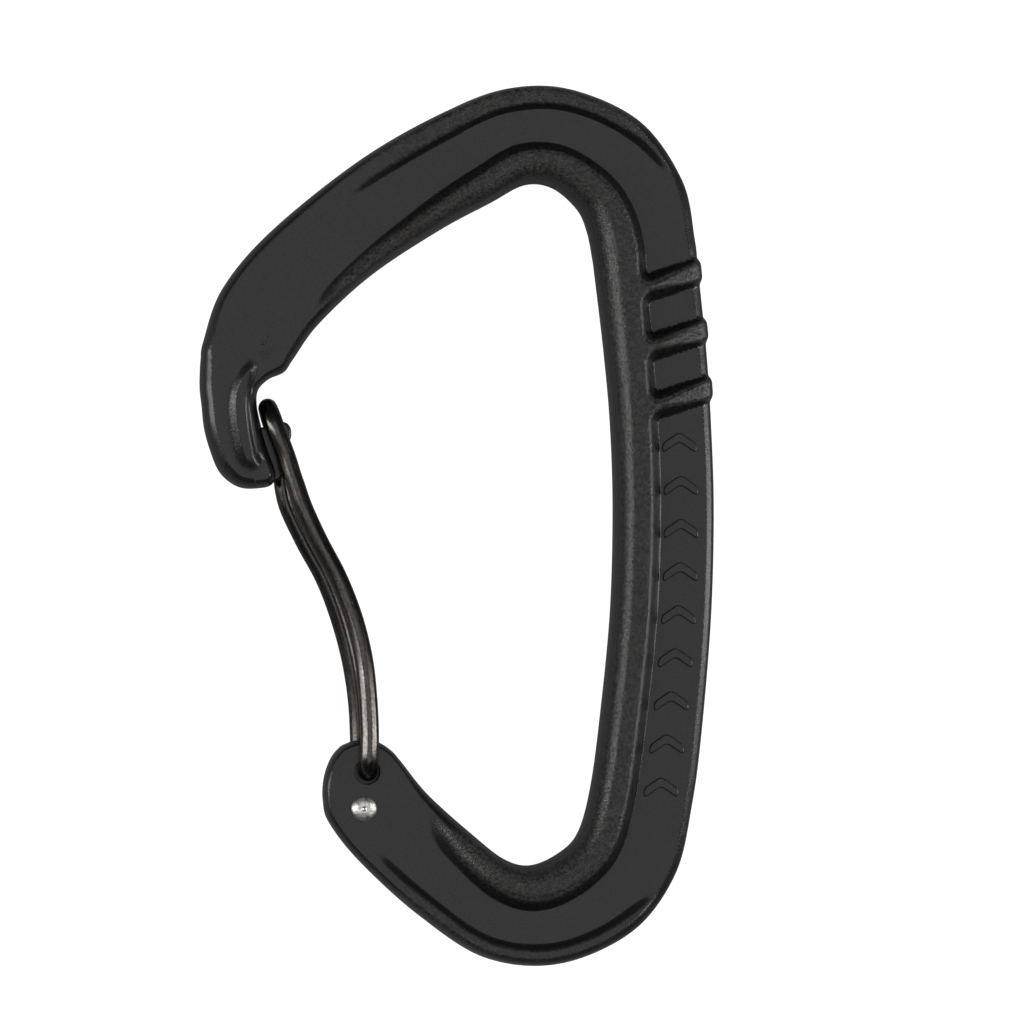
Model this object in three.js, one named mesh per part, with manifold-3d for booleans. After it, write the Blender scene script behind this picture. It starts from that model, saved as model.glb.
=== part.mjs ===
// Wire-gate carabiner: a forged frame, a wire gate that springs shut and a hub rivet.
// Millimetres, +Z up. The carabiner lies flat on its rope ribs, long axis along Y, spine on +X,
// gate on -X, nose at the upper left, gate hub at the lower left.
import * as THREE from "three";
import { ParametricGeometry } from "three/addons/geometries/ParametricGeometry.js";
import { mergeVertices } from "three/addons/utils/BufferGeometryUtils.js";
import Module from "manifold-3d";

// ---- driving dimensions ----
const CROWN = 4.9; // half of the overall thickness, at the flat land of the rope rib
const HUB_FACE = 2.45; // half thickness of the flat hub
const WIRE_RADIUS = 1.03;
const LEG_HEIGHT_HUB = 3.8; // wire leg centre above the mid-plane beside the hub
const LEG_HEIGHT_NOSE = 2.45; // and at the nose, where it is also the radius of the U-bend
const LEG_STAGGER = 0.3; // near leg sits this far towards the spine, far leg this far from it
const PIN_BEND_RADIUS = 1.5;
const PIN_END = 0.9; // wire ends stop this far from the mid-plane
const PIN_HOLE_RADIUS = 1.35;
const PIN_HOLE_SHIFT = -0.1; // along X, from the wire's axis
const PIN_HOLE_FLOOR = 0.55;
const PIVOT = new THREE.Vector2(-10.24, -27.13); // gate hinge axis, parallel to Z
const RIVET = new THREE.Vector2(-10.4, -31.2);
const RIVET_SHANK_RADIUS = 0.95;
const RIVET_BORE_RADIUS = 1.25;
const RIVET_HEAD_RADIUS = 1.4;
const RIVET_HEAD_RISE = 0.6;
const RIVET_DIMPLE_RADIUS = 0.3;
const RIVET_DIMPLE_DEPTH = 0.15;
const RIVET_SEAT_GAP = 0.2;
const CATCH_HALF_THICKNESS = 1.25; // nose plate between the two wire legs
const CATCH_BEVEL = 0.25;

// Stations along the frame from the nose tip to the hub tip: a point on the outer edge and the
// facing point on the inner edge.
const STATIONS = [
  // nose
  [-21.9, 4.0, -21.9, 4.0],
  [-23.6, 4.0, -20.6, 4.3],
  [-25.0, 4.6, -20.0, 5.2],
  [-26.3, 5.9, -20.2, 6.4],
  [-27.2, 8.0, -20.9, 8.3],
  [-27.9, 10.5, -21.6, 10.7],
  [-28.2, 13.1, -22.1, 13.1],
  [-28.4, 14.9, -21.95, 14.8],
  [-28.4, 16.5, -20.8, 16.0],
  // arm
  [-28.3, 18.2, -19.1, 16.8],
  [-28.0, 20.2, -18.1, 18.2],
  [-25.9, 26.0, -15.3, 22.1],
  [-20.5, 32.4, -9.5, 27.5],
  [-10.7, 40.3, -2.0, 32.5],
  [-1.5, 45.6, 3.7, 35.6],
  // top bend
  [5.6, 48.2, 7.5, 37.6],
  [12.6, 48.1, 10.6, 37.3],
  [20.2, 44.6, 13.3, 35.0],
  [24.9, 38.2, 14.4, 32.6],
  [26.3, 31.7, 15.0, 29.7],
  // spine
  [26.7, 28.0, 15.3, 27.5],
  [27.6, 19.1, 16.3, 19.1],
  [28.1, 11.2, 17.0, 11.2],
  [28.4, 1.7, 17.3, 1.9],
  [28.1, -9.9, 17.0, -9.4],
  [27.1, -22.1, 15.9, -20.8],
  [26.0, -30.6, 14.8, -28.9],
  // basket
  [24.1, -38.5, 13.4, -33.9],
  [19.4, -44.7, 11.2, -36.2],
  [11.4, -48.3, 8.1, -37.5],
  [3.2, -47.7, 5.2, -36.8],
  [-4.2, -43.0, 1.7, -34.1],
  [-10.7, -37.1, -3.2, -29.7],
  // hub
  [-14.1, -32.8, -6.3, -25.9],
  [-14.8, -30.3, -7.3, -24.8],
  [-14.7, -27.9, -8.5, -24.0],
  [-14.0, -25.8, -9.8, -23.6],
  [-13.0, -24.5, -11.1, -23.7],
  [-12.1, -24.0, -12.1, -24.0],
];
const LAST = STATIONS.length - 1;

// How the section changes along the frame: pairs of station and millimetres, eased in between.
const FLOOR = [[9, 2.8], [12, 2.9], [14, 2.3], [29, 2.25], [32, HUB_FACE]];
const OUTER_RISE = [
  [12.3, 0], [13.6, 0.9], [15, 1.35], [16.5, 1.2], [18.2, 0],
  [27.2, 0], [28.2, 0.9], [31, 0.9], [32.2, 0],
];
const OUTER_LAND = [[13, 2.6], [15, 2.1], [16.6, 1.9], [18.3, 0.9], [27, 0.9], [28, 1.8], [32, 1.8]];
const OUTER_WALL = [[13, 0.9], [15, 0.6]];
const OUTER_ROUND = [
  [0, 0.8], [3, 1.4], [8, 1.4], [11, 0.9], [15, 0.5],
  [19, 0.8], [27, 0.9], [34, 0.7], [37, 0.6],
];
const INNER_CREST = [[10.5, 2.8], [12, 3.7], [13, 4.5], [14, CROWN], [29.9, CROWN], [32.2, HUB_FACE]];
const INNER_LAND = [[11, 1.6], [15, 3.5], [19, 4.7], [22, 4.1], [26, 3.9], [29, 3.9], [32, 2.4]];
const INNER_WALL = [[13, 0.9], [20, 1.0], [26, 1.0], [29, 1.2]];
const INNER_ROUND = [
  [0, 0.8], [2, 0.9], [7, 0.9], [8, 0.7], [11, 1.1], [14, 1.9],
  [19, 2.8], [23, 2.2], [29, 2.0], [31, 1.4], [33, 0.6],
];
const CHEEK_RISE = [[1.5, 0], [3.2, 0.8], [7.2, 0.8], [8.4, 0]]; // rim beside the wire recess
const CHEEK_LAND = 0.8;
const CHEEK_WALL = 0.8;

// Cross ribs on the spine: [inner end], [outer end].
const CROSS_RIBS = [
  [[20.5, 26.0], [27.9, 28.5]],
  [[20.8, 19.45], [28.4, 21.9]],
  [[21.2, 12.95], [28.9, 15.45]],
];
const CROSS_RIB_LIFT = 1.2; // crest above the web
const CROSS_RIB_OVERHANG = 0.25; // ends stand this far past the frame's outer edge
const CROSS_RIB_HALF_WIDTH = [0.8, 1.25]; // at the inner and the outer end

// Plain chevrons in low relief down the spine panel.
const CHEVRON_COUNT = 9;
const CHEVRON_TOP_Y = 9;
const CHEVRON_PITCH = 4.75;
const PANEL_STATIONS = [20, 28];
const CHEVRON_ACROSS = 0.66; // share of the way from the inner edge to the outer edge
const CHEVRON_HALF_SPAN = 1.9;
const CHEVRON_DEPTH = 1.3;
const CHEVRON_BAR = 1.1;
const CHEVRON_HEIGHT = 2.6;

const ROWS_PER_STATION = 2;
const ROUND_STEPS = 3;

// ---- helpers ----
const wasm = await Module();
wasm.setup();

function solidOf(geometry) {
  const bare = geometry.index ? geometry.toNonIndexed() : geometry.clone();
  bare.deleteAttribute("normal");
  bare.deleteAttribute("uv");
  const merged = mergeVertices(bare, 1e-4);
  const corners = merged.index.array;
  const kept = [];
  for (let i = 0; i < corners.length; i += 3) {
    const [a, b, c] = [corners[i], corners[i + 1], corners[i + 2]];
    if (a !== b && b !== c && c !== a) kept.push(a, b, c);
  }
  const vertProperties = merged.attributes.position.array;
  return new wasm.Manifold(new wasm.Mesh({ numProp: 3, vertProperties, triVerts: new Uint32Array(kept) }));
}

function geometryOf(solid) {
  const mesh = solid.getMesh();
  const geometry = new THREE.BufferGeometry();
  geometry.setAttribute("position", new THREE.BufferAttribute(mesh.vertProperties, 3));
  geometry.setIndex(new THREE.BufferAttribute(mesh.triVerts, 1));
  geometry.computeVertexNormals();
  return geometry;
}

// Value at a station of a list of [station, value] pairs.
function along(pairs, station) {
  if (station <= pairs[0][0]) return pairs[0][1];
  for (let i = 1; i < pairs.length; i++) {
    const [s0, v0] = pairs[i - 1];
    const [s1, v1] = pairs[i];
    if (station <= s1) return THREE.MathUtils.lerp(v0, v1, THREE.MathUtils.smoothstep(station, s0, s1));
  }
  return pairs[pairs.length - 1][1];
}

// ---- frame ----
const outline = new THREE.CatmullRomCurve3(
  [
    ...STATIONS.map(([x, y]) => new THREE.Vector3(x, y, 0)),
    ...STATIONS.slice(1, LAST).reverse().map(([, , x, y]) => new THREE.Vector3(x, y, 0)),
  ],
  true,
  "catmullrom",
  0.5,
);
const outerAt = (station) => outline.getPoint(station / (2 * LAST));
const innerAt = (station) => outline.getPoint((1 - station / (2 * LAST)) % 1);
const outlinePoints = outline.getPoints(2 * LAST * 6);

function distanceToOutline(point) {
  const segment = new THREE.Line3();
  const nearest = new THREE.Vector3();
  let best = Infinity;
  for (let i = 1; i < outlinePoints.length; i++) {
    segment.set(outlinePoints[i - 1], outlinePoints[i]);
    segment.closestPointToPoint(point, true, nearest);
    best = Math.min(best, nearest.distanceTo(point));
  }
  return best;
}

// Where the columns of a section lie, as distances from the outer edge.
function columnsAt(station, width) {
  const outerRound = along(OUTER_ROUND, station);
  const outerLand = Math.max(along(OUTER_LAND, station), outerRound + 0.1);
  const outerWall = along(OUTER_WALL, station);
  const innerRound = along(INNER_ROUND, station);
  const innerLand = Math.max(along(INNER_LAND, station), innerRound + 0.1);
  const innerWall = along(INNER_WALL, station);
  const used = outerLand + outerWall + innerLand + innerWall;
  const shrink = Math.min(1, (0.9 * width) / used);
  const columns = [];
  for (let i = 0; i <= ROUND_STEPS; i++) {
    columns.push(shrink * outerRound * (1 - Math.cos((i / ROUND_STEPS) * (Math.PI / 2))));
  }
  columns.push(shrink * outerLand);
  columns.push(shrink * (outerLand + outerWall / 2));
  columns.push(shrink * (outerLand + outerWall));
  columns.push(width - shrink * (innerLand + innerWall));
  columns.push(width - shrink * (innerLand + innerWall / 2));
  columns.push(width - shrink * innerLand);
  for (let i = ROUND_STEPS + 1; i >= 0; i--) {
    columns.push(width - shrink * innerRound * (1 - Math.cos((i / (ROUND_STEPS + 1)) * (Math.PI / 2))));
  }
  return columns;
}
const COLUMN_COUNT = columnsAt(15, 11).length;

function halfThickness(station, fromOuter, fromInner, toEdge, lift) {
  const step = (distance, land, wall) => 1 - THREE.MathUtils.smoothstep(distance, land, land + wall);
  const outerRib = step(fromOuter, along(OUTER_LAND, station), along(OUTER_WALL, station));
  const innerRib = step(fromInner, along(INNER_LAND, station), along(INNER_WALL, station));
  const cheek = step(fromInner, CHEEK_LAND, CHEEK_WALL);
  const floor = along(FLOOR, station) + lift;
  const crest = Math.max(floor, along(INNER_CREST, station));
  const web = floor + along(OUTER_RISE, station) * outerRib + along(CHEEK_RISE, station) * cheek;
  const height = THREE.MathUtils.lerp(web, crest, innerRib);
  const round = fromOuter < fromInner ? along(OUTER_ROUND, station) : along(INNER_ROUND, station);
  const inset = 1 - Math.min(toEdge / round, 1);
  return height * Math.sqrt(1 - inset * inset);
}

// The forged body: rows across the frame, each a ring over the top face and back under the other.
// A lift raises the web, which gives the envelope that the cross ribs fill.
function forgedBody(lift) {
  const rows = LAST * ROWS_PER_STATION;
  const ringSteps = 2 * (COLUMN_COUNT - 1);
  const across = new THREE.Vector3();
  const surface = (u, v, target) => {
    const station = (1 - u) * LAST;
    const outer = outerAt(station);
    across.subVectors(innerAt(station), outer);
    const width = across.length();
    const ring = Math.round(v * ringSteps) % ringSteps;
    const under = ring >= COLUMN_COUNT;
    const column = under ? ringSteps - ring : ring;
    const fromOuter = columnsAt(station, width)[column];
    target.copy(outer);
    if (width < 1e-6) return;
    target.addScaledVector(across, fromOuter / width);
    const onEdge = column === 0 || column === COLUMN_COUNT - 1;
    if (onEdge) return;
    const toEdge = distanceToOutline(target);
    const height = halfThickness(station, fromOuter, width - fromOuter, toEdge, lift);
    target.z = under ? -height : height;
  };
  return solidOf(new ParametricGeometry(surface, rows, ringSteps));
}

function prism(points, halfHeight) {
  const shape = new THREE.Shape(points.map(([x, y]) => new THREE.Vector2(x, y)));
  const geometry = new THREE.ExtrudeGeometry(shape, { depth: 2 * halfHeight, bevelEnabled: false });
  geometry.translate(0, 0, -halfHeight);
  return solidOf(geometry);
}

// A cross rib flares towards its outer end, shows on both faces and follows the rounded edge.
function crossRib([[x0, y0], [x1, y1]], envelope) {
  const normal = new THREE.Vector2(y0 - y1, x1 - x0).normalize();
  const [w0, w1] = CROSS_RIB_HALF_WIDTH;
  const corners = [
    [x0 - normal.x * w0, y0 - normal.y * w0],
    [x1 - normal.x * w1, y1 - normal.y * w1],
    [x1 + normal.x * w1, y1 + normal.y * w1],
    [x0 + normal.x * w0, y0 + normal.y * w0],
  ];
  return prism(corners, CROWN).intersect(envelope);
}

// The point at a given y on the line that runs down the spine panel.
function panelPoint(y) {
  const at = (station) => innerAt(station).lerp(outerAt(station), CHEVRON_ACROSS);
  let [above, below] = PANEL_STATIONS;
  while (below - above > 1e-6) {
    const middle = (above + below) / 2;
    if (at(middle).y > y) above = middle;
    else below = middle;
  }
  return at(above);
}

function chevron(index) {
  const { x, y } = panelPoint(CHEVRON_TOP_Y - index * CHEVRON_PITCH);
  return prism(
    [
      [x - CHEVRON_HALF_SPAN, y - CHEVRON_BAR],
      [x, y + CHEVRON_DEPTH - CHEVRON_BAR],
      [x + CHEVRON_HALF_SPAN, y - CHEVRON_BAR],
      [x + CHEVRON_HALF_SPAN, y],
      [x, y + CHEVRON_DEPTH],
      [x - CHEVRON_HALF_SPAN, y],
    ],
    CHEVRON_HEIGHT,
  );
}

// The plate of the nose that stands between the wire legs; its upper edge follows the gate's arc.
function catchPlate() {
  const shape = new THREE.Shape();
  shape.moveTo(-24.5, 9.9);
  shape.lineTo(-19.5, 11.25);
  shape.bezierCurveTo(-18.75, 11.45, -18.2, 10.7, -18.35, 9.7);
  shape.quadraticCurveTo(-18.8, 8.0, -18.95, 6.2);
  shape.quadraticCurveTo(-19.0, 5.0, -20.2, 4.7);
  shape.lineTo(-24.5, 6.0);
  const geometry = new THREE.ExtrudeGeometry(shape, {
    depth: 2 * (CATCH_HALF_THICKNESS - CATCH_BEVEL),
    bevelThickness: CATCH_BEVEL,
    bevelSize: CATCH_BEVEL,
    bevelOffset: -CATCH_BEVEL,
    bevelSegments: 1,
    curveSegments: 4,
  });
  geometry.translate(0, 0, CATCH_BEVEL - CATCH_HALF_THICKNESS);
  return solidOf(geometry);
}

function pin(centre, radius, low, high) {
  const geometry = new THREE.CylinderGeometry(radius, radius, high - low, 20);
  geometry.rotateX(Math.PI / 2);
  geometry.translate(centre.x, centre.y, (low + high) / 2);
  return solidOf(geometry);
}

function frameGeometry() {
  let body = forgedBody(0);
  const envelope = forgedBody(CROSS_RIB_LIFT).translate([CROSS_RIB_OVERHANG, 0, 0]);
  CROSS_RIBS.forEach((ends) => {
    body = body.add(crossRib(ends, envelope));
  });
  for (let i = 0; i < CHEVRON_COUNT; i++) body = body.add(chevron(i));
  body = body.add(catchPlate());
  const nearHole = PIVOT.clone().add(new THREE.Vector2(PIN_HOLE_SHIFT + LEG_STAGGER, 0));
  const farHole = PIVOT.clone().add(new THREE.Vector2(PIN_HOLE_SHIFT - LEG_STAGGER, 0));
  body = body.subtract(pin(nearHole, PIN_HOLE_RADIUS, PIN_HOLE_FLOOR, CROWN));
  body = body.subtract(pin(farHole, PIN_HOLE_RADIUS, -CROWN, -PIN_HOLE_FLOOR));
  body = body.subtract(pin(RIVET, RIVET_BORE_RADIUS, -CROWN, CROWN));
  return geometryOf(body);
}

// ---- wire gate ----
// Near leg's x, far leg's x and y, from the hub to the start of the U-bend.
const LEG_LINES = [
  [-9.87, -10.55, -23.5],
  [-10.03, -10.8, -19.3],
  [-10.5, -11.5, -14.9],
  [-11.54, -12.68, -10.5],
  [-13.25, -14.38, -6.0],
  [-15.53, -16.76, -1.6],
  [-17.2, -18.5, 2.1],
  [-17.85, -18.97, 4.0],
  [-18.33, -19.13, 5.4],
  [-18.89, -19.45, 7.2],
];
const BEND_START = new THREE.Vector2(-20.13, 10.55);
const BEND_HEADING = new THREE.Vector2(-0.316, 0.949);
const NARROW_FROM = -22; // the legs start to close in at this y
const NARROW_TO = 8;

function gateCurve() {
  const points = [];
  const leg = (side) => {
    const row = [];
    const x = PIVOT.x + side * LEG_STAGGER;
    row.push(new THREE.Vector3(x, PIVOT.y, side * PIN_END));
    for (let i = 0; i <= 4; i++) {
      const angle = (i / 4) * (Math.PI / 2);
      const rise = LEG_HEIGHT_HUB - PIN_BEND_RADIUS * (1 - Math.sin(angle));
      row.push(new THREE.Vector3(x, PIVOT.y + PIN_BEND_RADIUS * (1 - Math.cos(angle)), side * rise));
    }
    LEG_LINES.forEach(([nearX, farX, y]) => {
      const closing = THREE.MathUtils.clamp((y - NARROW_FROM) / (NARROW_TO - NARROW_FROM), 0, 1);
      const height = THREE.MathUtils.lerp(LEG_HEIGHT_HUB, LEG_HEIGHT_NOSE, closing);
      row.push(new THREE.Vector3(side > 0 ? nearX : farX, y, side * height));
    });
    return row;
  };
  points.push(...leg(1));
  for (let i = 0; i <= 6; i++) {
    const angle = (i / 6) * Math.PI;
    const reach = LEG_HEIGHT_NOSE * Math.sin(angle);
    const { x, y } = BEND_START.clone().addScaledVector(BEND_HEADING, reach);
    points.push(new THREE.Vector3(x, y, LEG_HEIGHT_NOSE * Math.cos(angle)));
  }
  points.push(...leg(-1).reverse());
  return new THREE.CatmullRomCurve3(points, false, "centripetal");
}

function gateGeometry() {
  const section = new THREE.Shape();
  section.absarc(0, 0, WIRE_RADIUS, 0, 2 * Math.PI, false);
  return new THREE.ExtrudeGeometry(section, {
    steps: 150,
    curveSegments: 5,
    bevelEnabled: false,
    extrudePath: gateCurve(),
  });
}

// ---- rivet ----
function rivetGeometry() {
  const seat = HUB_FACE + RIVET_SEAT_GAP;
  const top = seat + RIVET_HEAD_RISE;
  const half = [
    [RIVET_SHANK_RADIUS, seat],
    [RIVET_HEAD_RADIUS - 0.1, seat],
    [RIVET_HEAD_RADIUS, seat + 0.12],
    [RIVET_HEAD_RADIUS - 0.25, seat + 0.42],
    [RIVET_HEAD_RADIUS - 0.75, top - 0.03],
    [RIVET_DIMPLE_RADIUS, top],
    [0, top - RIVET_DIMPLE_DEPTH],
  ];
  const upper = half.map(([r, z]) => new THREE.Vector2(r, z));
  const lower = half.map(([r, z]) => new THREE.Vector2(r, -z)).reverse();
  const geometry = new THREE.LatheGeometry([...lower, ...upper], 20);
  geometry.rotateX(Math.PI / 2);
  return geometry;
}

// ---- assembly ----
const carabiner = new THREE.Group();
carabiner.position.z = CROWN;

const frame = new THREE.Mesh(
  frameGeometry(),
  new THREE.MeshStandardMaterial({ color: 0x26272a, roughness: 0.55, metalness: 0.8 }),
);
frame.name = "frame";

const wireGate = new THREE.Mesh(
  gateGeometry(),
  new THREE.MeshStandardMaterial({ color: 0x5d5853, roughness: 0.35, metalness: 1 }),
);
wireGate.name = "wire_gate";

const rivet = new THREE.Mesh(
  rivetGeometry(),
  new THREE.MeshStandardMaterial({ color: 0xc9c6c0, roughness: 0.3, metalness: 1 }),
);
rivet.name = "gate_rivet";
rivet.position.set(RIVET.x, RIVET.y, 0);

carabiner.add(frame, wireGate, rivet);

export default carabiner;
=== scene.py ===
"""Looks of a wire-gate carabiner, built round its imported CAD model. The outline and the section
tables below are in millimetres about the mid-plane; every Blender object is in metres."""
import math

import bmesh
import bpy
import numpy as np
from mathutils import Matrix, Vector


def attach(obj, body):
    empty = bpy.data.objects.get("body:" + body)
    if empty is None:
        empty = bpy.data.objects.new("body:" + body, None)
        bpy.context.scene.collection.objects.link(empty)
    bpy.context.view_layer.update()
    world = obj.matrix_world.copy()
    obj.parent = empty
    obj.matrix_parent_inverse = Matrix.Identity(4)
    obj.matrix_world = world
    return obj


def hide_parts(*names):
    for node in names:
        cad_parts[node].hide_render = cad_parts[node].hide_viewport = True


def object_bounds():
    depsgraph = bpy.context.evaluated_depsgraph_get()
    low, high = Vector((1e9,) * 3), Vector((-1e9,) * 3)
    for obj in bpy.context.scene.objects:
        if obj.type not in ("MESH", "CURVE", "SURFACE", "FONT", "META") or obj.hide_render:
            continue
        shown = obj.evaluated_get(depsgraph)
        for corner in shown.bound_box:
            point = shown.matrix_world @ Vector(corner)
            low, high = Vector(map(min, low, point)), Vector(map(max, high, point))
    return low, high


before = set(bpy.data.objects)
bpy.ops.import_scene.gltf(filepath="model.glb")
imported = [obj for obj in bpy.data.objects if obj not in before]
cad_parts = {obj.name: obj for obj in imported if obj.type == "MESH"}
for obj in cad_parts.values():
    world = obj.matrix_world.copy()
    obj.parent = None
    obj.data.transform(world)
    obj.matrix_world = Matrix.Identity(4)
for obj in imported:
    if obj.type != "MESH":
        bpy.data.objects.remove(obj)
cad_low, cad_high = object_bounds()

MM = 0.001
CROWN = 4.9  # half thickness at the rope rib
HUB_FACE = 2.45
MID_PLANE = (cad_low[2] + cad_high[2]) / 2

# Stations from the nose tip to the hub tip: outer edge x, y and the facing inner edge x, y.
STATIONS = [
    # nose
    [-21.9, 4.0, -21.9, 4.0],
    [-23.6, 4.0, -20.6, 4.3],
    [-25.0, 4.6, -20.0, 5.2],
    [-26.3, 5.9, -20.2, 6.4],
    [-27.2, 8.0, -20.9, 8.3],
    [-27.9, 10.5, -21.6, 10.7],
    [-28.2, 13.1, -22.1, 13.1],
    [-28.4, 14.9, -21.95, 14.8],
    [-28.4, 16.5, -20.8, 16.0],
    # arm
    [-28.3, 18.2, -19.1, 16.8],
    [-28.0, 20.2, -18.1, 18.2],
    [-25.9, 26.0, -15.3, 22.1],
    [-20.5, 32.4, -9.5, 27.5],
    [-10.7, 40.3, -2.0, 32.5],
    [-1.5, 45.6, 3.7, 35.6],
    # top bend
    [5.6, 48.2, 7.5, 37.6],
    [12.6, 48.1, 10.6, 37.3],
    [20.2, 44.6, 13.3, 35.0],
    [24.9, 38.2, 14.4, 32.6],
    [26.3, 31.7, 15.0, 29.7],
    # spine
    [26.7, 28.0, 15.3, 27.5],
    [27.6, 19.1, 16.3, 19.1],
    [28.1, 11.2, 17.0, 11.2],
    [28.4, 1.7, 17.3, 1.9],
    [28.1, -9.9, 17.0, -9.4],
    [27.1, -22.1, 15.9, -20.8],
    [26.0, -30.6, 14.8, -28.9],
    # basket
    [24.1, -38.5, 13.4, -33.9],
    [19.4, -44.7, 11.2, -36.2],
    [11.4, -48.3, 8.1, -37.5],
    [3.2, -47.7, 5.2, -36.8],
    [-4.2, -43.0, 1.7, -34.1],
    [-10.7, -37.1, -3.2, -29.7],
    # hub
    [-14.1, -32.8, -6.3, -25.9],
    [-14.8, -30.3, -7.3, -24.8],
    [-14.7, -27.9, -8.5, -24.0],
    [-14.0, -25.8, -9.8, -23.6],
    [-13.0, -24.5, -11.1, -23.7],
    [-12.1, -24.0, -12.1, -24.0],
]
LAST = len(STATIONS) - 1

# Section of the forging along the frame: pairs of station and millimetres, eased in between.
FLOOR = [(9, 2.8), (12, 2.9), (14, 2.3), (29, 2.25), (32, HUB_FACE)]
OUTER_RISE = [
    (12.3, 0), (13.6, 0.9), (15, 1.35), (16.5, 1.2), (18.2, 0),
    (27.2, 0), (28.2, 0.9), (31, 0.9), (32.2, 0),
]
OUTER_LAND = [(13, 2.6), (15, 2.1), (16.6, 1.9), (18.3, 0.9), (27, 0.9), (28, 1.8), (32, 1.8)]
OUTER_ROUND = [
    (0, 0.8), (3, 1.4), (8, 1.4), (11, 0.9), (15, 0.6),
    (18.5, 1.15), (27, 1.15), (29, 0.9), (34, 0.7), (37, 0.6),
]
# How far the outer edge's rounding falls before it meets the plain side.
OUTER_DROP = [(12, 6), (15, 2.6), (18.5, 1.25), (27, 1.25), (29, 2.2), (32, 6)]
INNER_CREST = [(10.5, 2.8), (12, 3.7), (13, 4.5), (14, CROWN), (29.9, CROWN), (32.2, HUB_FACE)]
INNER_LAND = [(11, 1.6), (15, 3.5), (19, 4.7), (22, 4.1), (26, 3.9), (29, 3.9), (32, 2.4)]
INNER_WALL = [(13, 0.9), (20, 1.0), (26, 1.0), (29, 1.2)]
INNER_ROUND = [
    (0, 0.8), (2, 0.9), (7, 0.9), (8, 0.7), (11, 1.1), (14, 1.9),
    (19, 2.8), (23, 2.2), (29, 2.0), (31, 1.4), (33, 0.6),
]
OUTER_WALL = 0.65
WALL_BLEND = 0.22  # fillet at the foot of a wall
CREST_BLEND = 0.3  # rounding at the top of the outer rise
ROPE_RIB_BLEND = 1.3  # rounding at the top of the rope rib

CROSS_RIBS = [
    ((20.5, 26.0), (27.9, 28.5)),
    ((20.8, 19.45), (28.4, 21.9)),
    ((21.2, 12.95), (28.9, 15.45)),
]
CROSS_RIB_LIFT = 1.2
CROSS_RIB_OVERHANG = 0.25
CROSS_RIB_HALF_WIDTH = 0.5
CROSS_RIB_WALL = 1.0
POCKET_CORNER = 0.35

# Spacing of the rows along the frame, in millimetres, by station.
ROW_SPACING = [
    (0, 0.12), (3, 0.16), (9, 0.2), (11, 0.5), (18, 0.45), (19.4, 0.18),
    (22.1, 0.18), (22.6, 0.7), (26, 0.6), (28, 0.45), (32, 0.35), (37, 0.15),
]


# ---- small numeric helpers ----
def ease(value, low, high):
    t = np.clip((value - low) / (high - low), 0.0, 1.0)
    return t * t * (3.0 - 2.0 * t)


def along(pairs, station):
    """Value at each station of a list of (station, value) pairs, eased in between."""
    station = np.asarray(station, dtype=float)
    result = np.full(station.shape, float(pairs[0][1]))
    for (s0, v0), (s1, v1) in zip(pairs, pairs[1:]):
        result = np.where(station > s0, v0 + (v1 - v0) * ease(station, s0, s1), result)
    return result


def smooth_max(a, b, blend):
    mix = np.clip(0.5 + 0.5 * (a - b) / blend, 0.0, 1.0)
    return b + (a - b) * mix + blend * mix * (1.0 - mix)


def smooth_min(a, b, blend):
    return -smooth_max(-a, -b, blend)


def rounded_min(a, b, radius):
    """Distance inside both edges, with the corner between them rounded."""
    corner = radius - np.hypot(np.maximum(radius - a, 0.0), np.maximum(radius - b, 0.0))
    return np.where((a < radius) & (b < radius), corner, np.minimum(a, b))


def spline(loop, t):
    """Points of the closed Catmull-Rom curve through loop; t counts its points."""
    index = np.floor(t).astype(int)
    f = (t - index)[..., None]
    p0, p1, p2, p3 = (loop[(index + k) % len(loop)] for k in (-1, 0, 1, 2))
    square = (2 * p0 - 5 * p1 + 4 * p2 - p3) * f**2
    cube = (3 * p1 - p0 - 3 * p2 + p3) * f**3
    return 0.5 * (2 * p1 + (p2 - p0) * f + square + cube)


def path_distance(x, y, path):
    """Distance to a polyline and how far along it, from 0 to 1, the nearest point lies."""
    path = np.array(path, dtype=float)
    best = np.full(x.shape, 1e9)
    where = np.zeros(x.shape)
    side = np.zeros(x.shape)
    for i, (a, b) in enumerate(zip(path, path[1:])):
        d = b - a
        t = np.clip(((x - a[0]) * d[0] + (y - a[1]) * d[1]) / (d @ d), 0.0, 1.0)
        dx = x - a[0] - t * d[0]
        dy = y - a[1] - t * d[1]
        dist = np.hypot(dx, dy)
        near = dist < best
        best = np.where(near, dist, best)
        where = np.where(near, (i + t) / (len(path) - 1), where)
        side = np.where(near, np.sign(d[0] * dy - d[1] * dx), side)
    return best, where, side


def centripetal(points, per_span):
    """Centripetal Catmull-Rom curve through the points, with its end spans run straight out."""
    padded = np.vstack([2 * points[0] - points[1], points, 2 * points[-1] - points[-2]])
    knots = np.concatenate([[0], np.cumsum(np.sqrt(np.linalg.norm(np.diff(padded, axis=0), axis=1)))])
    result = []
    for i in range(1, len(padded) - 2):
        t0, t1, t2, t3 = knots[i - 1 : i + 3]
        p0, p1, p2, p3 = padded[i - 1 : i + 3]
        for t in np.linspace(t1, t2, per_span, endpoint=False):
            a1 = (t1 - t) / (t1 - t0) * p0 + (t - t0) / (t1 - t0) * p1
            a2 = (t2 - t) / (t2 - t1) * p1 + (t - t1) / (t2 - t1) * p2
            a3 = (t3 - t) / (t3 - t2) * p2 + (t - t2) / (t3 - t2) * p3
            b1 = (t2 - t) / (t2 - t0) * a1 + (t - t0) / (t2 - t0) * a2
            b2 = (t3 - t) / (t3 - t1) * a2 + (t - t1) / (t3 - t1) * a3
            result.append((t2 - t) / (t2 - t1) * b1 + (t - t1) / (t2 - t1) * b2)
    result.append(points[-1])
    return np.array(result)


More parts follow.
